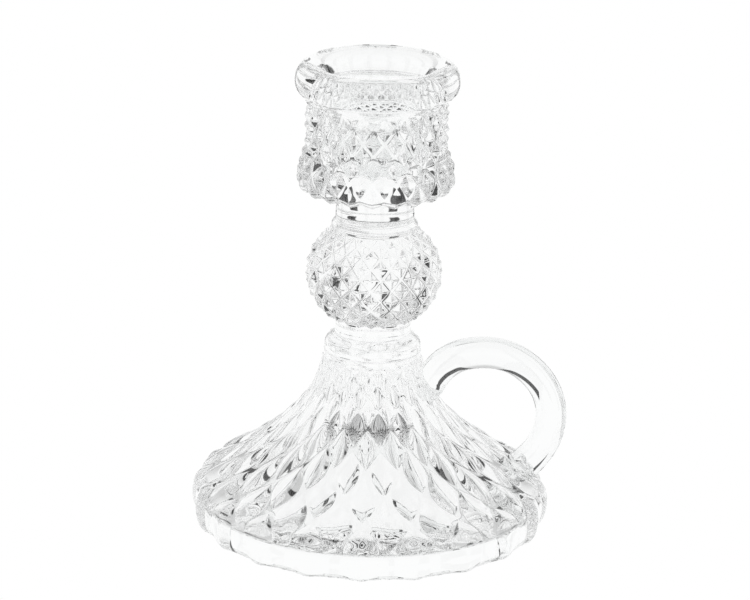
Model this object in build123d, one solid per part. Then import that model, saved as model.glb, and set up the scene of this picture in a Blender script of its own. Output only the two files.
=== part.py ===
from build123d import *

import os
from math import cos, pi, sin, sqrt

# Pressed-glass chamber candlestick with a finger loop.
#
# Clear glass throughout: a hollow flared foot, a plain shoulder, two plain necks with a ball knop between them,
# a faceted candle cup with a rolled rim, and a finger loop on the foot. The foot, the knop and the cup carry the
# same pressed diamond pattern. The origin is on the axis in the plane that the foot stands on, +Z is up and the
# finger loop points along +X. Sizes are in millimetres.

# The pressed pattern: diamonds in rows, each row half a diamond round from the last
DIAMONDS_AROUND = 20
FOOT_RELIEF = 1.2
KNOP_RELIEF = 0.9
CUP_RELIEF = 0.9

# Heights of the faces where one section of the glass meets the next
Z_SHOULDER = 46.4
Z_LOWER_NECK = 50.8
Z_KNOP = 54.8
Z_UPPER_NECK = 77.9
Z_CUP = 88.4
Z_RIM = 112.6
Z_TOP = 121.0

# Foot
RIM_RADIUS = 45.8
RIM_HEIGHT = 10.8
RIM_UNDERCUT = 2.0
FLUTE_DEPTH = 0.9
SHOULDER_RADIUS = 12.3
SHOULDER_BAND = 1.6
SHOULDER_BULGE = 1.9
FLARE_RADIUS = 12.8
FLARE_REACH = 31.8
FLARE_BASE = 11.4
FLARE_TOP = 44.5
FLARE_POWER = 2.1
ROW_RADII = (12.85, 13.2, 14.6, 17.6, 22.0, 26.9, 32.8, 40.3)
FULL_RELIEF_RADIUS = 22.0
HOLLOW_RADIUS = 39.6
HOLLOW_WALL = 4.5
HOLLOW_TOP = 24.3

# Necks and knop
LOWER_NECK_RADIUS = 9.7
UPPER_NECK_RADIUS = 10.0
BEAD_RADIUS = 0.9
KNOP_RADIUS = 17.3
KNOP_ROWS = 8

# Cup
WALL_RADIUS = 17.7
WALL_ROWS = 4
WALL_PITCH = 3.4
WALL_FIRST_ROW = 98.0
PLAIN_BAND_INSET = 0.2
SKIRT_RADIUS = 20.4
SKIRT_LIFT = 3.0
SKIRT_HEIGHT = 6.2
BORE_RADIUS = 11.0
BORE_BOTTOM = 92.6
ROLL_RADIUS = 20.7
ROLL_HEIGHT = 116.3
ROLL_TOP_RADIUS = 17.0
LIP_RADIUS = 13.2
LIP_HEIGHT = 119.0

# Finger loop, drawn in the XZ plane
LOOP_TUBE_RADIUS = 4.0
LOOP_RADIUS = 15.6
LOOP_CENTRE_X = 30.2
LOOP_CENTRE_Z = 30.0
LOOP_START = (15.2, 38.2)
LOOP_END = (35.5, 12.2)
LOOP_UPPER_ANGLE = 2.2
LOOP_LOWER_ANGLE = -0.3


def diamond_row(valley_radius, relief, z, peaks_on_even, dz=0.0):
    """One ring of pattern points: every other point is a diamond's peak, raised by relief and moved up by dz."""
    points = []
    for m in range(2 * DIAMONDS_AROUND):
        peak = (m % 2 == 0) == peaks_on_even
        angle = m * pi / DIAMONDS_AROUND - pi / 2
        radius = valley_radius + (relief if peak else 0.0)
        points.append(Vector(radius * cos(angle), radius * sin(angle), z + (dz if peak else 0.0)))
    return points


def faceted_solid(rows):
    """A closed solid between a flat bottom ring and a flat top ring of pattern points, with triangles between.

    rows is a list of (points, peaks_on_even), bottom first. Each quad is split along its groove.
    """
    faces = []
    count = 2 * DIAMONDS_AROUND
    for (low, low_even), (high, _) in zip(rows, rows[1:]):
        for m in range(count):
            a, b = low[m], low[(m + 1) % count]
            c, d = high[(m + 1) % count], high[m]
            low_left_is_peak = (m % 2 == 0) == low_even
            triangles = [(a, b, d), (b, c, d)] if low_left_is_peak else [(a, b, c), (a, c, d)]
            faces += [Face(Wire.make_polygon(t, close=True)) for t in triangles]
    faces.append(Face(Wire.make_polygon(rows[0][0], close=True)))
    faces.append(Face(Wire.make_polygon(rows[-1][0], close=True)))
    return Solid(Shell(faces))


def turned(edges):
    """The solid that a closed outline in the XZ plane sweeps round the axis."""
    return revolve(make_face(edges), Axis.Z)


def flare_height(radius):
    """Height of the flared side above a radius, measured in the grooves."""
    share = (radius - FLARE_RADIUS) / FLARE_REACH
    return FLARE_TOP - (FLARE_TOP - FLARE_BASE) * share ** (1 / FLARE_POWER)


def make_foot():
    """The flared foot: fluted rim below, rows of diamonds that grow outwards above, and a smooth hollow below."""
    crossings = [(radius, flare_height(radius)) for radius in ROW_RADII]
    rows = [(diamond_row(SHOULDER_RADIUS, 0.0, Z_SHOULDER, False), False)]
    for i, (radius, z) in enumerate(crossings):
        outer = crossings[min(i + 1, len(crossings) - 1)]
        inner = crossings[max(i - 1, 0)]
        run, rise = outer[0] - inner[0], inner[1] - outer[1]
        length = sqrt(run**2 + rise**2)
        relief = FOOT_RELIEF * min(1.0, radius / FULL_RELIEF_RADIUS)
        on_even = i % 2 == 0
        rows.append((diamond_row(radius, relief * rise / length, z, on_even, relief * run / length), on_even))
    flute_radius = RIM_RADIUS - FLUTE_DEPTH
    for radius, z in [(flute_radius, RIM_HEIGHT), (flute_radius, RIM_HEIGHT / 2),
                      (flute_radius - RIM_UNDERCUT, 0.0)]:
        rows.append((diamond_row(radius, FLUTE_DEPTH, z, True), True))
    body = faceted_solid(rows[::-1])
    edge, edge_top, apex = (HOLLOW_RADIUS, 0, 0), (HOLLOW_RADIUS, 0, HOLLOW_WALL), (0, 0, HOLLOW_TOP)
    roof = Spline(edge_top, (33.0, 0, 7.4), (19.0, 0, 14.6), (9.5, 0, 22.3), apex,
                  tangents=[(-1, 0, 0.3), (-1, 0, 0)])
    hollow = turned([Line((0, 0, 0), edge), Line(edge, edge_top), roof, Line(apex, (0, 0, 0))])
    return body - hollow


def make_shoulder():
    """The plain rounded shoulder between the foot's pattern and the lower neck."""
    z_band = Z_SHOULDER + SHOULDER_BAND
    middle = (SHOULDER_RADIUS - 0.4 * SHOULDER_BULGE, 0, z_band + SHOULDER_BULGE)
    return turned([
        Line((0, 0, Z_SHOULDER), (SHOULDER_RADIUS, 0, Z_SHOULDER)),
        Line((SHOULDER_RADIUS, 0, Z_SHOULDER), (SHOULDER_RADIUS, 0, z_band)),
        ThreePointArc((SHOULDER_RADIUS, 0, z_band), middle, (LOWER_NECK_RADIUS, 0, Z_LOWER_NECK)),
        Line((LOWER_NECK_RADIUS, 0, Z_LOWER_NECK), (0, 0, Z_LOWER_NECK)),
        Line((0, 0, Z_LOWER_NECK), (0, 0, Z_SHOULDER)),
    ])


def make_neck(radius, z_low, z_high, z_bead=None):
    """A plain round neck, with a small bead round it where z_bead says."""
    if z_bead is None:
        side = [Line((radius, 0, z_low), (radius, 0, z_high))]
    else:
        below, above = z_bead - BEAD_RADIUS, z_bead + BEAD_RADIUS
        side = [Line((radius, 0, z_low), (radius, 0, below)),
                ThreePointArc((radius, 0, below), (radius + BEAD_RADIUS, 0, z_bead), (radius, 0, above)),
                Line((radius, 0, above), (radius, 0, z_high))]
    return turned([Line((0, 0, z_low), (radius, 0, z_low)), *side,
                   Line((radius, 0, z_high), (0, 0, z_high)), Line((0, 0, z_high), (0, 0, z_low))])


def make_knop():
    """The ball between the necks: an oblate ball, cut off where the necks leave it, with diamonds all over."""
    z_middle = (Z_KNOP + Z_UPPER_NECK) / 2
    half_height = (Z_UPPER_NECK - Z_KNOP) / 2
    valley_radius = KNOP_RADIUS - KNOP_RELIEF
    z_axis = half_height / sqrt(1 - (UPPER_NECK_RADIUS / valley_radius) ** 2)
    rows = []
    for k in range(KNOP_ROWS + 1):
        z = -half_height + 2 * half_height * k / KNOP_ROWS
        radius = valley_radius * sqrt(1 - (z / z_axis) ** 2)
        at_end = k in (0, KNOP_ROWS)
        relief = 0.0 if at_end else KNOP_RELIEF
        rows.append((diamond_row(radius, relief, z_middle + z, k % 2 == 0), k % 2 == 0))
    return faceted_solid(rows)


def make_cup():
    """The candle cup: a skirt that flares below, diamonds on the wall, a plain band above, and a bored socket."""
    skirt_valley = SKIRT_RADIUS - CUP_RELIEF
    rows = []
    for radius, z in [(skirt_valley - CUP_RELIEF, Z_CUP), (skirt_valley, Z_CUP + SKIRT_LIFT),
                      (skirt_valley, Z_CUP + SKIRT_HEIGHT)]:
        rows.append((diamond_row(radius, CUP_RELIEF, z, len(rows) % 2 == 0), len(rows) % 2 == 0))
    for k in range(WALL_ROWS):
        z = WALL_FIRST_ROW + WALL_PITCH * k
        rows.append((diamond_row(WALL_RADIUS - CUP_RELIEF, CUP_RELIEF, z, len(rows) % 2 == 0), len(rows) % 2 == 0))
    for z in (WALL_FIRST_ROW + WALL_PITCH * WALL_ROWS, Z_RIM):
        rows.append((diamond_row(WALL_RADIUS - PLAIN_BAND_INSET, 0.0, z, True), True))
    bore = Pos(0, 0, BORE_BOTTOM) * Cylinder(BORE_RADIUS, Z_RIM - BORE_BOTTOM,
                                             align=(Align.CENTER, Align.CENTER, Align.MIN))
    return faceted_solid(rows) - bore


def make_rim():
    """The fat rolled rim, whose mouth flares from the socket to the lip."""
    start = (WALL_RADIUS - PLAIN_BAND_INSET, 0, Z_RIM)
    side = (ROLL_RADIUS, 0, ROLL_HEIGHT)
    crest = (ROLL_TOP_RADIUS, 0, Z_TOP)
    lip = (LIP_RADIUS, 0, LIP_HEIGHT)
    socket = (BORE_RADIUS, 0, Z_RIM)
    return turned([
        ThreePointArc(start, (ROLL_RADIUS - 1.0, 0, ROLL_HEIGHT - 2.7), side),
        ThreePointArc(side, (ROLL_RADIUS - 0.95, 0, ROLL_HEIGHT + 3.1), crest),
        ThreePointArc(crest, (LIP_RADIUS + 1.7, 0, Z_TOP - 0.6), lip),
        ThreePointArc(lip, (BORE_RADIUS + 0.65, 0, LIP_HEIGHT - 3.0), socket),
        Line(socket, start),
    ])


def make_loop(foot):
    """The finger loop: a round bar bent to an arc, with a rounded upper end and a lower end set on the foot."""
    centre = Vector(LOOP_CENTRE_X, 0, LOOP_CENTRE_Z)
    first, last = Vector(LOOP_START[0], 0, LOOP_START[1]), Vector(LOOP_END[0], 0, LOOP_END[1])
    left = centre + Vector(cos(LOOP_UPPER_ANGLE), 0, sin(LOOP_UPPER_ANGLE)) * LOOP_RADIUS
    right = centre + Vector(cos(LOOP_LOWER_ANGLE), 0, sin(LOOP_LOWER_ANGLE)) * LOOP_RADIUS
    top_arc = ThreePointArc(left, centre + Vector(0, 0, LOOP_RADIUS), right)
    upper_arc = TangentArc(left, first, tangent=(top_arc % 0) * -1)
    lower_arc = TangentArc(right, last, tangent=top_arc % 1)
    path = Wire([upper_arc, top_arc, lower_arc])
    section = Plane(origin=path @ 0, z_dir=path % 0) * Circle(LOOP_TUBE_RADIUS)
    bar = sweep(section, path=path)
    rounded_end = Pos(first) * Sphere(LOOP_TUBE_RADIUS)
    return (bar + rounded_end) - foot


def main():
    foot = make_foot()
    parts = {
        "foot": foot,
        "shoulder": make_shoulder(),
        "lower_neck": make_neck(LOWER_NECK_RADIUS, Z_LOWER_NECK, Z_KNOP),
        "ball_knop": make_knop(),
        "upper_neck": make_neck(UPPER_NECK_RADIUS, Z_UPPER_NECK, Z_CUP, z_bead=Z_UPPER_NECK + 1.6),
        "candle_cup": make_cup(),
        "cup_rim": make_rim(),
        "finger_loop": make_loop(foot),
    }
    os.makedirs("parts", exist_ok=True)
    for name, part in parts.items():
        export_step(part, f"parts/{name}.step")
        print(name, round(part.volume), "mm3")


main()
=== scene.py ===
"""Clear pressed-glass chamber candlestick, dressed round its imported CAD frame.

Every section of the glass is its own closed mesh. Sections meet in plain faces that carry a clear
"fused joint" material, so that light passes from one section to the next as it does through one
pressing. Lengths are in metres; the outlines are given in millimetres and scaled by MM.
"""
from math import cos, pi, radians, sin, sqrt

import bmesh
import bpy
import numpy as np
from mathutils import Matrix, Vector


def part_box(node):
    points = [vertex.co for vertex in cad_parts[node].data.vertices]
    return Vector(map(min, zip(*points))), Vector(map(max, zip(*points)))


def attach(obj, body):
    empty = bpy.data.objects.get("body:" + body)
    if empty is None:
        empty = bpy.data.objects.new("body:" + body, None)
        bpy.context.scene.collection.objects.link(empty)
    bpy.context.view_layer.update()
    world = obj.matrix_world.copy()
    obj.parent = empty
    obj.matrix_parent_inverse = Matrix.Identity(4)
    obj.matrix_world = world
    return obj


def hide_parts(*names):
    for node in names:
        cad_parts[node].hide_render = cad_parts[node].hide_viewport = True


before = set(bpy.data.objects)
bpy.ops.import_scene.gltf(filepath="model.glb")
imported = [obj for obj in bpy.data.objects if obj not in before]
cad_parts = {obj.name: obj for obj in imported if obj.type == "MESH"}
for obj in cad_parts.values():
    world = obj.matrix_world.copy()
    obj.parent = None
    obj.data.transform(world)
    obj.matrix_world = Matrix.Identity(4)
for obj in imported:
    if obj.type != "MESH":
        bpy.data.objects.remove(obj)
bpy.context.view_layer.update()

MM = 0.001
DIAMONDS = 20                      # diamonds in one row round the glass
STEPS_AROUND = 2 * DIAMONDS        # half diamonds round the glass
ROW_SAMPLES = 10                   # mesh rows in half a diamond
LOBE_REACH = 0.9                   # how far a leaf's tip reaches towards the crossing, of half a diamond
EDGE_SOFTNESS = 0.03 * MM          # how softly a lobe's sides run out into the bands between the lobes
LENS_SPINE = 0.03                  # how softly a leaf, a flute and a pyramid turn on top, of half a diamond
FLUTE_SPINE = 0.05
PYRAMID_SPINE = 0.04
FLUTE_FLATNESS = 0.35              # how flat a flute's two sides are, from 0, round, to 1, flat
NARROWEST = 0.04                   # keeps a leaf's curve finite at its tips
END_FADE = 0.15                    # how far from an end face the lobes start to run out, of half a diamond


# ---------------------------------------------------------------- profiles

def smooth_curve(points, per_span=12):
    """A Catmull-Rom curve through (radius, z) points, sampled."""
    p = np.array(points, float)
    p = np.vstack([2 * p[0] - p[1], p, 2 * p[-1] - p[-2]])
    out = []
    for i in range(1, len(p) - 2):
        for u in np.linspace(0, 1, per_span, endpoint=False):
            out.append(0.5 * (2 * p[i] + (p[i + 1] - p[i - 1]) * u
                              + (2 * p[i - 1] - 5 * p[i] + 4 * p[i + 1] - p[i + 2]) * u**2
                              + (3 * p[i] - p[i - 1] - 3 * p[i + 1] + p[i + 2]) * u**3))
    out.append(p[-2])
    return np.array(out)


class Profile:
    """An outline from the bottom up, read by distance along it: radius, height and outward normal."""

    def __init__(self, points):
        self.points = np.array(points, float)
        steps = np.hypot(*np.diff(self.points, axis=0).T)
        self.along = np.r_[0, np.cumsum(steps)]
        self.length = self.along[-1]
        tangent = np.gradient(self.points, self.along, axis=0)
        tangent /= np.linalg.norm(tangent, axis=1)[:, None]
        self.normal = np.stack([tangent[:, 1], -tangent[:, 0]], 1)

    def at(self, distance):
        r, z, nr, nz = (np.interp(distance, self.along, column)
                        for column in (*self.points.T, *self.normal.T))
        return r, z, nr, nz


# ---------------------------------------------------------------- mesh building

GLASS, JOINT = 0, 1


class Shell:
    """Collects the rings, lobes and end faces of one section, then makes its closed mesh."""

    def __init__(self):
        self.vertices, self.faces, self.slots = [], [], []

    def add_points(self, points):
        first = len(self.vertices)
        self.vertices += [tuple(p) for p in points]
        return list(range(first, len(self.vertices)))

    def add_face(self, corners, slot=GLASS):
        unique = [c for i, c in enumerate(corners) if c != corners[i - 1]]
        if len(set(unique)) >= 3:
            self.faces.append(unique)
            self.slots.append(slot)

    def ring(self, radius, z, turns):
        """Points round the axis; turns are in half diamonds, from the front."""
        angles = np.array(turns) * pi / DIAMONDS - pi / 2
        return self.add_points(np.stack([radius * np.cos(angles), radius * np.sin(angles),
                                         np.full(len(angles), z)], 1))

    def skin(self, low, high, slot=GLASS):
        """Quads between two rings; with low below high the faces look outwards."""
        count = len(low)
        for i in range(count):
            j = (i + 1) % count
            self.add_face([low[i], low[j], high[j], high[i]], slot)

    def lathe(self, start, profile_points, turns, slot=GLASS):
        """Rings through (radius, z) points, skinned on from the ring start. Returns the last ring."""
        for radius, z in profile_points:
            ring = self.ring(radius, z, turns)
            self.skin(start, ring, slot)
            start = ring
        return start

    def lid(self, ring, slot, upwards):
        """A flat face that closes a ring."""
        self.add_face(ring if upwards else ring[::-1], slot)

    def fan(self, ring, point):
        """Triangles from a ring to a point on the axis."""
        tip = self.add_points([point])[0]
        count = len(ring)
        for i in range(count):
            self.add_face([ring[i], ring[(i + 1) % count], tip])

    def build(self, name, materials):
        """The closed mesh, with its faces turned outwards, as an object in the scene."""
        mesh = bpy.data.meshes.new(name)
        mesh.from_pydata(self.vertices, [], self.faces)
        for material in materials:
            mesh.materials.append(material)
        mesh.polygons.foreach_set("material_index", self.slots)
        solid = bmesh.new()
        solid.from_mesh(mesh)
        bmesh.ops.recalc_face_normals(solid, faces=solid.faces)
        if solid.calc_volume(signed=True) < 0:
            bmesh.ops.reverse_faces(solid, faces=solid.faces)
        solid.to_mesh(mesh)
        solid.free()
        piece = bpy.data.objects.new(name, mesh)
        bpy.context.scene.collection.objects.link(piece)
        return piece


def soft_abs(x, softness):
    return np.sqrt(x * x + softness * softness)


def soft_floor(height, softness):
    """height where it is positive, running out softly to nothing where it is negative."""
    return 0.5 * (height + np.sqrt(height * height + softness * softness))


def lens_height(x, y, width, depth):
    """A rounded leaf with pointed ends: x and y run from -1 to 1 over the cell."""
    along = 1 - (y / LOBE_REACH) ** 2
    across = soft_abs(x, LENS_SPINE) / width
    return depth * (along - across**2 / np.maximum(along, NARROWEST))


def flute_height(x, y, width, depth):
    """A leaf's tip above its middle, and below it a straight rounded flute."""
    along = 1 - (y / LOBE_REACH) ** 2 if y > 0 else 1.0
    across = soft_abs(x, FLUTE_SPINE) / width
    round_part = across**2 / np.maximum(along, NARROWEST)
    return depth * (along - FLUTE_FLATNESS * across - (1 - FLUTE_FLATNESS) * round_part)


def pyramid_height(x, y, width, depth):
    """A four-sided pyramid."""
    return depth * (1 - soft_abs(x, PYRAMID_SPINE) / width - soft_abs(y, PYRAMID_SPINE) / width)


def gable_height(x, y, width, depth):
    """The pyramid above its middle, and below it a straight roof."""
    return depth * (1 - soft_abs(x, PYRAMID_SPINE) / width - max(y, 0.0) / width)


def lobe_outline(y, width, kind):
    """Half the width of a lobe at y, of half a diamond."""
    if kind in STRAIGHT_BELOW and y < 0:
        return width
    if kind in ("pyramid", "gable"):
        return width * max(0.0, 1 - abs(y) / width)
    return width * max(0.0, 1 - (y / LOBE_REACH) ** 2)


HEIGHTS = {"lens": lens_height, "flute": flute_height,
           "pyramid": pyramid_height, "gable": gable_height}
STRAIGHT_BELOW = ("flute", "gable")
LOBE_COLUMNS = (0.0, 0.12, 0.35, 0.6, 0.82, 0.94, 1.0)     # mesh columns, a lobe's middle to its edge
BAND_COLUMNS = (0.08, 0.5, 1.0)                            # and from there to the band's middle
KEY_STEPS = 10000                  # places told apart in half a diamond, for finding shared vertices


def patterned_skin(shell, profile, rows, widths, depths, kinds):
    """Lobes on a profile. rows holds the distance along the profile of each row of crossings, bottom first.

    Row k has a lobe at every other half diamond, centred on the row and reaching to the rows on either side.
    The first row's lobes run straight down to the profile's start if their kind does, and are cut in half
    otherwise; the last row's are cut in half. Returns the bottom ring, the top ring and the turns that the
    points of each stand at.
    """
    table = {}
    last = len(rows) - 1
    row_numbers = np.arange(-1, len(rows) + 1)
    row_places = np.r_[0.0, rows, 2 * rows[-1] - rows[-2]]
    spread = np.gradient(row_places)

    def distance(s):
        """Distance along the profile of row number s, by a cubic through the rows."""
        k = int(min(max(np.floor(s), -1), last))
        u = s - k
        a, b = row_places[k + 1], row_places[k + 2]
        da, db = spread[k + 1], spread[k + 2]
        return ((2 * u**3 - 3 * u**2 + 1) * a + (u**3 - 2 * u**2 + u) * da
                + (3 * u**2 - 2 * u**3) * b + (u**3 - u**2) * db)

    def vertex(s, t, height):
        """The vertex at row number s and turn t, standing out from the profile by height."""
        key = (round(s * KEY_STEPS),
               round((t % STEPS_AROUND) * KEY_STEPS) % (STEPS_AROUND * KEY_STEPS))
        if key not in table:
            r, z, nr, nz = profile.at(distance(s))
            angle = t * pi / DIAMONDS - pi / 2
            radius = r + nr * height
            point = (radius * cos(angle), radius * sin(angle), max(z + nz * height, 0.0))
            table[key] = shell.add_points([point])[0]
        return table[key]

    for k in range(len(rows)):
        kind, width, depth = kinds[k], widths[k], depths[k]
        low = -ROW_SAMPLES if (k > 0 or kind in STRAIGHT_BELOW) else 0
        high = ROW_SAMPLES if k < last else 0
        ys = [j / ROW_SAMPLES for j in range(low, high + 1)]
        grid = []
        for y in ys:
            straight = kind in STRAIGHT_BELOW and y < 0
            edge = 1.0 if straight else 1 - abs(y)
            outline = min(lobe_outline(y, width, kind), edge)
            half = [outline * c for c in LOBE_COLUMNS]
            half += [outline + (edge - outline) * c for c in BAND_COLUMNS]
            xs = np.array([-x for x in half[:0:-1]] + half)
            heights = soft_floor(HEIGHTS[kind](xs, y, width, depth), EDGE_SOFTNESS)
            heights[[0, -1]] = 0.0
            if k == last or (k == 0 and kind not in STRAIGHT_BELOW):
                heights = heights * min(1.0, abs(y) / END_FADE)
            grid.append((xs, heights, y))
        for m in range(k % 2, STEPS_AROUND, 2):
            lines = [[vertex(k + y, m + x, h) for x, h in zip(xs, heights)]
                     for xs, heights, y in grid]
            for below, above in zip(lines, lines[1:]):
                for i in range(len(below) - 1):
                    shell.add_face([below[i], below[i + 1], above[i + 1], above[i]])

    def ring_at(s):
        row = round(s * KEY_STEPS)
        keys = sorted(key[1] for key in table if key[0] == row)
        return [table[(row, t)] for t in keys], [t / KEY_STEPS for t in keys]

    bottom, turns = ring_at(-1 if kinds[0] in STRAIGHT_BELOW else 0)
    top, top_turns = ring_at(last)
    return bottom, top, turns, top_turns


# ---------------------------------------------------------------- materials

GLASS_COLOUR = (0.975, 0.981, 0.98, 1)
GLASS_IOR = 1.5
RIPPLE_SCALE = 170.0               # ripples per metre, about one in 6 mm
RIPPLE_STRENGTH = 0.05
RIPPLE_HEIGHT = 0.5 * MM


def glass_material():
    """Clear colourless pressed glass, with the faint ripple and chill marks that a mould leaves."""
    material = bpy.data.materials.new("clear_glass")
    material.use_nodes = True
    nodes, links = material.node_tree.nodes, material.node_tree.links
    shader = nodes["Principled BSDF"]
    shader.inputs["Base Color"].default_value = GLASS_COLOUR
    shader.inputs["Roughness"].default_value = 0.0
    shader.inputs["IOR"].default_value = GLASS_IOR
    shader.inputs["Transmission Weight"].default_value = 1.0
    place = nodes.new("ShaderNodeTexCoord")
    ripple = nodes.new("ShaderNodeTexNoise")
    ripple.inputs["Scale"].default_value = RIPPLE_SCALE
    ripple.inputs["Detail"].default_value = 2.0
    bump = nodes.new("ShaderNodeBump")
    bump.inputs["Strength"].default_value = RIPPLE_STRENGTH
    bump.inputs["Distance"].default_value = RIPPLE_HEIGHT
    links.new(place.outputs["Object"], ripple.inputs["Vector"])
    links.new(ripple.outputs["Fac"], bump.inputs["Height"])
    links.new(bump.outputs["Normal"], shader.inputs["Normal"])
    return material


def joint_material():
    """What two sections meet through inside the glass: nothing to see."""
    material = bpy.data.materials.new("fused_joint")
    material.use_nodes = True
    nodes, links = material.node_tree.nodes, material.node_tree.links
    nodes.remove(nodes["Principled BSDF"])
    clear = nodes.new("ShaderNodeBsdfTransparent")
    links.new(clear.outputs["BSDF"], nodes["Material Output"].inputs["Surface"])
    return material


MATERIALS = [glass_material(), joint_material()]


# ---------------------------------------------------------------- sections

def z_of(node, top):
    """The height of a CAD node's upper or lower face."""
    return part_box(node)[1 if top else 0].z


Z_SHOULDER = z_of("shoulder", False)
Z_LOWER_NECK = z_of("lower_neck", False)
Z_KNOP = z_of("ball_knop", False)
Z_UPPER_NECK = z_of("upper_neck", False)
Z_CUP = z_of("candle_cup", False)
Z_RIM = z_of("cup_rim", False)
Z_TOP = z_of("cup_rim", True)
SHOULDER_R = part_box("shoulder")[1].x
LOWER_NECK_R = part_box("lower_neck")[1].x
UPPER_NECK_R = 10.0 * MM
SOCKET_R = 11.0 * MM
SOCKET_FLOOR = 92.6                # height of the socket's floor, in millimetres
BAND_R = 17.5 * MM                 # the plain band between the cup's pattern and the rim

# Lobes: widths are of half a diamond, depths in millimetres
RIM_FLUTE_WIDTH, RIM_FLUTE_DEPTH = 0.66, 1.0
LENS_WIDTH, LENS_DEPTH = 0.65, 0.9
LENS_SLOPE = 0.15                  # a leaf's greatest depth, as a share of the distance between rows
KNOP_ROWS, KNOP_VALLEY_R = 11, 16.6 * MM
KNOP_SAMPLES = 90                  # points on the ball's outline
KNOP_WIDTH, KNOP_DEPTH = 0.84, 0.9
SKIRT_WIDTH, SKIRT_DEPTH = 0.86, 0.8
CUP_WIDTH, CUP_DEPTH = 0.8, 1.4

# Rows of crossings, in millimetres: distance down the side on the foot, height on the cup
FOOT_ROWS = (53.0, 45.0, 37.0, 29.3, 22.6, 16.9, 12.6, 9.1, 6.2, 3.9, 2.0)
CUP_ROWS = (90.6, 94.4, 97.8, 101.1, 104.4, 107.8, 111.3)

# Radius and height of the hollow under the foot, in millimetres
HOLLOW_EDGE = [(42.2, 0.0), (39.9, 0.0), (39.6, 0.2)]
HOLLOW = [(39.6, 0.4), (39.5, 4.5), (38.0, 5.8), (33.0, 7.4), (26.0, 10.4), (19.0, 14.6), (13.0, 19.3),
          (9.5, 22.3), (7.0, 23.6), (3.5, 24.2), (0.0, 24.3)]


def make_foot():
    """The flared foot, up to the shoulder, and the hollow under it."""
    shell = Shell()
    side = smooth_curve([(42.7, 0), (44.0, 1.8), (44.7, 4.6), (44.6, 7.6), (43.6, 10.2), (41.2, 12.0),
                         (37.8, 14.2), (33.0, 17.3), (28.0, 20.8), (23.2, 24.8), (19.3, 28.9), (16.4, 33.0),
                         (14.3, 37.0), (13.1, 41.0), (12.4, 44.5), (12.3, 46.4)]) * MM
    profile = Profile(side)
    below_shoulder = np.array(FOOT_ROWS) * MM
    rows = profile.length - below_shoulder
    lens_rows = len(rows) - 1
    pitch = np.abs(np.gradient(below_shoulder))
    widths = [RIM_FLUTE_WIDTH] + [LENS_WIDTH] * lens_rows
    depths = [RIM_FLUTE_DEPTH * MM] + [min(LENS_DEPTH * MM, LENS_SLOPE * p) for p in pitch[1:]]
    kinds = ["flute"] + ["lens"] * lens_rows
    bottom, top, turns, top_turns = patterned_skin(shell, profile, rows, widths, depths, kinds)
    collar = smooth_curve([profile.at(rows[-1])[:2], (SHOULDER_R, Z_SHOULDER)], 3)
    top = shell.lathe(top, collar[1:], top_turns)
    shell.lid(top, JOINT, True)
    hollow = smooth_curve(HOLLOW, 5)
    inner = shell.lathe(bottom, np.array([*HOLLOW_EDGE, *hollow[:-1]]) * MM, turns)
    shell.fan(inner, (0, 0, hollow[-1][1] * MM))
    return shell.build("glass_foot", MATERIALS), top_turns


def make_plain(name, points, turns):
    """A solid turned section: points from its lower face to its upper face."""
    shell = Shell()
    start = shell.ring(*points[0], turns)
    shell.lid(start, JOINT, False)
    end = shell.lathe(start, points[1:], turns)
    shell.lid(end, JOINT, True)
    return shell.build(name, MATERIALS)


def make_knop():
    """The ball, an oblate one, cut off where the necks leave it."""
    shell = Shell()
    middle, half = (Z_KNOP + Z_UPPER_NECK) / 2, (Z_UPPER_NECK - Z_KNOP) / 2
    axis = half / sqrt(1 - (LOWER_NECK_R / KNOP_VALLEY_R) ** 2)
    heights = np.linspace(-half, half, KNOP_SAMPLES)
    profile = Profile([(KNOP_VALLEY_R * sqrt(1 - (h / axis) ** 2), middle + h) for h in heights])
    rows = np.linspace(0.0, profile.length, KNOP_ROWS)
    bottom, top, turns, _ = patterned_skin(shell, profile, rows, [KNOP_WIDTH] * KNOP_ROWS,
                                           [KNOP_DEPTH * MM] * KNOP_ROWS, ["pyramid"] * KNOP_ROWS)
    shell.lid(bottom, JOINT, False)
    shell.lid(top, JOINT, True)
    return shell.build("glass_ball_knop", MATERIALS), turns


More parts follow.
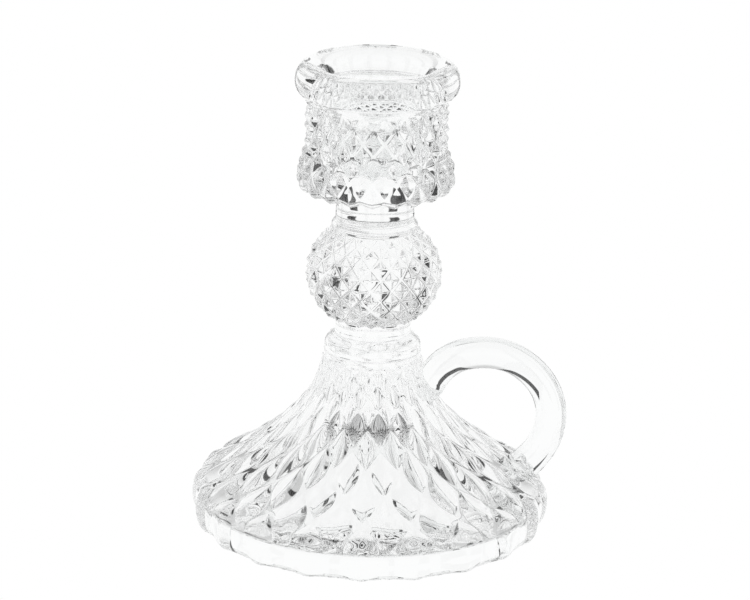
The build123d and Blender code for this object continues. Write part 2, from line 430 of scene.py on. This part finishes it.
def make_cup():
    """The cup: gables round the skirt's edge, pyramids above, a plain band, the socket, the underside."""
    shell = Shell()
    side = smooth_curve([(17.6, 88.9), (18.9, 90.0), (19.4, 92.2), (19.0, 94.6), (17.9, 96.8), (17.1, 99.0),
                         (16.9, 102.0), (16.9, 106.0), (16.95, 110.0), (17.1, 111.4)]) * MM
    profile = Profile(side)
    rows = np.interp(np.array(CUP_ROWS) * MM, profile.points[:, 1], profile.along)
    upper = len(rows) - 1
    kinds = ["gable"] + ["pyramid"] * upper
    depths = [SKIRT_DEPTH * MM] * 2 + [CUP_DEPTH * MM] * (upper - 1)
    widths = [SKIRT_WIDTH] + [CUP_WIDTH] * upper
    bottom, top, turns, top_turns = patterned_skin(shell, profile, rows, widths, depths, kinds)
    band = [(17.25 * MM, 111.6 * MM), (BAND_R, 112.0 * MM), (BAND_R, Z_RIM)]
    wall_top = shell.lathe(top, band, top_turns)
    bore_top = shell.ring(SOCKET_R, Z_RIM, top_turns)
    shell.skin(wall_top, bore_top, JOINT)
    bore = [(11.0, 100.0), (11.0, 94.6), (10.7, 93.6), (10.0, 92.9),
            (8.8, SOCKET_FLOOR), (4.0, SOCKET_FLOOR)]
    floor = shell.lathe(bore_top, np.array(bore) * MM, top_turns)
    shell.fan(floor, (0, 0, SOCKET_FLOOR * MM))
    under = [(16.6, 88.45), (14.0, 88.6), (11.6, 88.9), (10.6, 88.75), (10.05, 88.41)]
    neck = shell.lathe(bottom, np.array(under) * MM, turns)
    neck = shell.lathe(neck, [(UPPER_NECK_R, Z_CUP)], turns)
    shell.lid(neck, JOINT, False)
    return shell.build("glass_candle_cup", MATERIALS), turns, top_turns


def make_rim(turns):
    """The rolled rim, round from the plain band over the lip and down into the socket."""
    shell = Shell()
    outside = smooth_curve([(17.5, 112.6), (18.5, 112.9), (20.0, 113.9), (20.7, 116.0), (20.3, 118.6),
                            (18.9, 120.4), (17.0, 121.0), (15.2, 120.6), (13.7, 119.6), (13.0, 118.2),
                            (12.3, 116.2), (11.4, 114.4), (11.0, 112.6)], 6) * MM
    start = shell.ring(BAND_R, Z_RIM, turns)
    inner = shell.lathe(start, outside[1:-1], turns)
    end = shell.lathe(inner, [(SOCKET_R, Z_RIM)], turns)
    shell.skin(end, start, JOINT)
    return shell.build("glass_cup_rim", MATERIALS)


LOOP_SIDES = 48
LOOP_CENTRE_LINE = [(13.4, 34.2), (14.6, 36.6), (16.2, 39.6), (18.9, 42.6), (23.1, 44.9), (29.6, 45.7),
                    (35.4, 44.5), (40.5, 41.2), (44.1, 36.6), (45.8, 31.0), (45.2, 24.6), (42.6, 19.4),
                    (38.8, 15.2), (35.6, 12.4)]
LOOP_PLACES = [0, 0.08, 0.25, 0.6, 0.85, 1.0]      # along the centre line
LOOP_RADII = [3.2, 4.1, 4.1, 3.85, 4.1, 4.5]       # of the bar at those places, in millimetres
END_STEPS = (0.98, 0.9, 0.75, 0.5, 0.25)           # rings of the rounded upper end, of its radius


def make_loop():
    """The bar of the finger loop, with its ends still inside the foot."""
    shell = Shell()
    centre = smooth_curve(LOOP_CENTRE_LINE, 8)
    radii = np.interp(np.linspace(0, 1, len(centre)), LOOP_PLACES, LOOP_RADII)
    tangent = np.gradient(centre, axis=0)
    tangent /= np.linalg.norm(tangent, axis=1)[:, None]

    def bar_ring(point, direction, radius):
        """A ring of the bar, square to its direction."""
        out = np.array([-direction[1], direction[0]])
        points = []
        for i in range(LOOP_SIDES):
            a = 2 * pi * i / LOOP_SIDES
            x, z = point + out * radius * cos(a)
            points.append((x * MM, radius * sin(a) * MM, z * MM))
        return shell.add_points(points)

    rings = [bar_ring(centre[0] - tangent[0] * radii[0] * step, tangent[0],
                      radii[0] * sqrt(1 - step**2)) for step in END_STEPS]
    rings += [bar_ring(*ring) for ring in zip(centre, tangent, radii)]
    for low, high in zip(rings, rings[1:]):
        shell.skin(low, high)
    shell.lid(rings[0], GLASS, False)
    shell.lid(rings[-1], GLASS, True)
    return shell.build("glass_finger_loop", MATERIALS)


foot, shoulder_turns = make_foot()
knop, knop_turns = make_knop()
cup, cup_turns, rim_turns = make_cup()
rim = make_rim(rim_turns)
shoulder = make_plain("glass_shoulder", smooth_curve(
    [(SHOULDER_R, Z_SHOULDER), (12.25 * MM, 47.6 * MM), (11.7 * MM, 49.0 * MM), (10.4 * MM, 50.2 * MM),
     (LOWER_NECK_R, Z_LOWER_NECK)], 6), shoulder_turns)
lower_neck = make_plain("glass_lower_neck", smooth_curve(
    [(LOWER_NECK_R, Z_LOWER_NECK), (9.55 * MM, 51.8 * MM), (9.5 * MM, 53.6 * MM),
     (LOWER_NECK_R, Z_KNOP)], 6), knop_turns)
upper_neck = make_plain("glass_upper_neck", smooth_curve(
    [(LOWER_NECK_R, Z_UPPER_NECK), (10.6 * MM, 78.5 * MM), (10.9 * MM, 79.3 * MM), (10.5 * MM, 80.2 * MM),
     (10.0 * MM, 81.0 * MM), (9.9 * MM, 83.0 * MM), (9.9 * MM, 86.0 * MM),
     (UPPER_NECK_R, Z_CUP)], 6), cup_turns)
loop = make_loop()

REPLACED = {foot: "foot", shoulder: "shoulder", lower_neck: "lower_neck", knop: "ball_knop",
            upper_neck: "upper_neck", cup: "candle_cup", rim: "cup_rim", loop: "finger_loop"}
for piece, node in REPLACED.items():
    piece.data.shade_smooth()
    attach(piece, "root")
    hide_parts(node)


# ---------------------------------------------------------------- studio

FLOOR_RADIUS = 0.2                 # a round white table top
FLOOR_SIDES = 96
FLOOR_DROP = 0.05 * MM             # keeps the table's face clear of the foot's


def make_floor():
    """The table top: it shines white and reflects nothing."""
    turns = [2 * pi * i / FLOOR_SIDES for i in range(FLOOR_SIDES)]
    mesh = bpy.data.meshes.new("studio_floor")
    corners = [(FLOOR_RADIUS * cos(a), FLOOR_RADIUS * sin(a), 0) for a in turns]
    mesh.from_pydata(corners, [], [range(FLOOR_SIDES)])
    floor = bpy.data.objects.new("studio_floor", mesh)
    bpy.context.scene.collection.objects.link(floor)
    material = bpy.data.materials.new("white_sweep")
    material.use_nodes = True
    shader = material.node_tree.nodes["Principled BSDF"]
    shader.inputs["Base Color"].default_value = (0.0, 0.0, 0.0, 1)
    shader.inputs["Roughness"].default_value = 0.8
    shader.inputs["Specular IOR Level"].default_value = 0.0
    shader.inputs["Emission Color"].default_value = (1, 1, 1, 1)
    shader.inputs["Emission Strength"].default_value = 1.0
    mesh.materials.append(material)
    floor.location.z = -FLOOR_DROP


PANELS = 8                         # upright panels round the object
GAP_TURN = pi                      # turns the gaps half a panel round, to either side of the camera's line
GAP_EDGE = (0.6, 0.8)              # cosine of the panel angle where the light starts to drop, and is lowest
GAP_LIGHT = 0.05                   # light in the gaps, as a share of the panels' light
CEILING_EDGE = (0.25, 0.55)        # sine of the elevation where the panels start to dim, and have dimmed
CEILING_LIGHT = 0.62               # light from overhead
ZENITH_EDGE = (0.7, 0.85)          # the same sines for the dark patch straight overhead
ZENITH_LIGHT = 0.2                 # light in it, as a share of the light from overhead


def make_world():
    """Bright soft panels all round, dimmer overhead, with narrow dark gaps between the panels.

    The room behind the object is plain white; the panels show only in the glass.
    """
    world = bpy.data.worlds.new("studio")
    bpy.context.scene.world = world
    world.use_nodes = True
    nodes, links = world.node_tree.nodes, world.node_tree.links
    background = nodes["Background"]

    def put(socket, value):
        if isinstance(value, bpy.types.NodeSocket):
            links.new(value, socket)
        else:
            socket.default_value = value

    def maths(operation, first, second=0.0):
        node = nodes.new("ShaderNodeMath")
        node.operation = operation
        put(node.inputs[0], first)
        put(node.inputs[1], second)
        return node.outputs[0]

    def smooth_step(value, low, high, to_low=0.0, to_high=1.0):
        node = nodes.new("ShaderNodeMapRange")
        node.interpolation_type = "SMOOTHSTEP"
        for socket, number in zip(("Value", "From Min", "From Max", "To Min", "To Max"),
                                  (value, low, high, to_low, to_high)):
            put(node.inputs[socket], number)
        return node.outputs[0]

    place = nodes.new("ShaderNodeTexCoord")
    split = nodes.new("ShaderNodeSeparateXYZ")
    links.new(place.outputs["Generated"], split.inputs["Vector"])
    x, y, z = split.outputs
    ceiling = smooth_step(z, *CEILING_EDGE, 1.0, CEILING_LIGHT)
    turn = maths("COSINE", maths("ADD", maths("MULTIPLY", maths("ARCTAN2", y, x), PANELS), GAP_TURN))
    gaps = smooth_step(turn, *GAP_EDGE, 1.0, GAP_LIGHT)
    zenith = smooth_step(z, *ZENITH_EDGE, 1.0, ZENITH_LIGHT)
    light = maths("MULTIPLY", maths("MULTIPLY", ceiling, zenith), gaps)
    seen_directly = nodes.new("ShaderNodeLightPath").outputs["Is Camera Ray"]
    put(background.inputs["Color"], maths("MAXIMUM", light, seen_directly))


SENSOR = 36.0                      # width of the camera's sensor, in millimetres
LENS = 189.6                       # its focal length: a long lens


def make_camera():
    """The photo's view: from the front, a little to the right and well above, tilted slightly."""
    target = Vector((0.42, 0, 58.75)) * MM
    distance, elevation, turn, roll = 1.0, radians(18.6), radians(2.4), radians(1.17)
    away = Vector((sin(turn) * cos(elevation), -cos(turn) * cos(elevation), sin(elevation)))
    data = bpy.data.cameras.new("camera")
    data.sensor_width = SENSOR
    data.lens = LENS
    camera = bpy.data.objects.new("camera", data)
    bpy.context.scene.collection.objects.link(camera)
    camera.matrix_world = (Matrix.Translation(target + away * distance)
                           @ away.to_track_quat("Z", "Y").to_matrix().to_4x4()
                           @ Matrix.Rotation(roll, 4, "Z"))
    bpy.context.scene.camera = camera


make_floor()
make_world()
make_camera()
scene = bpy.context.scene
scene.view_settings.view_transform = "Standard"
scene.cycles.max_bounces = 32
scene.cycles.transmission_bounces = 32
scene.cycles.glossy_bounces = 16
scene.cycles.transparent_max_bounces = 32
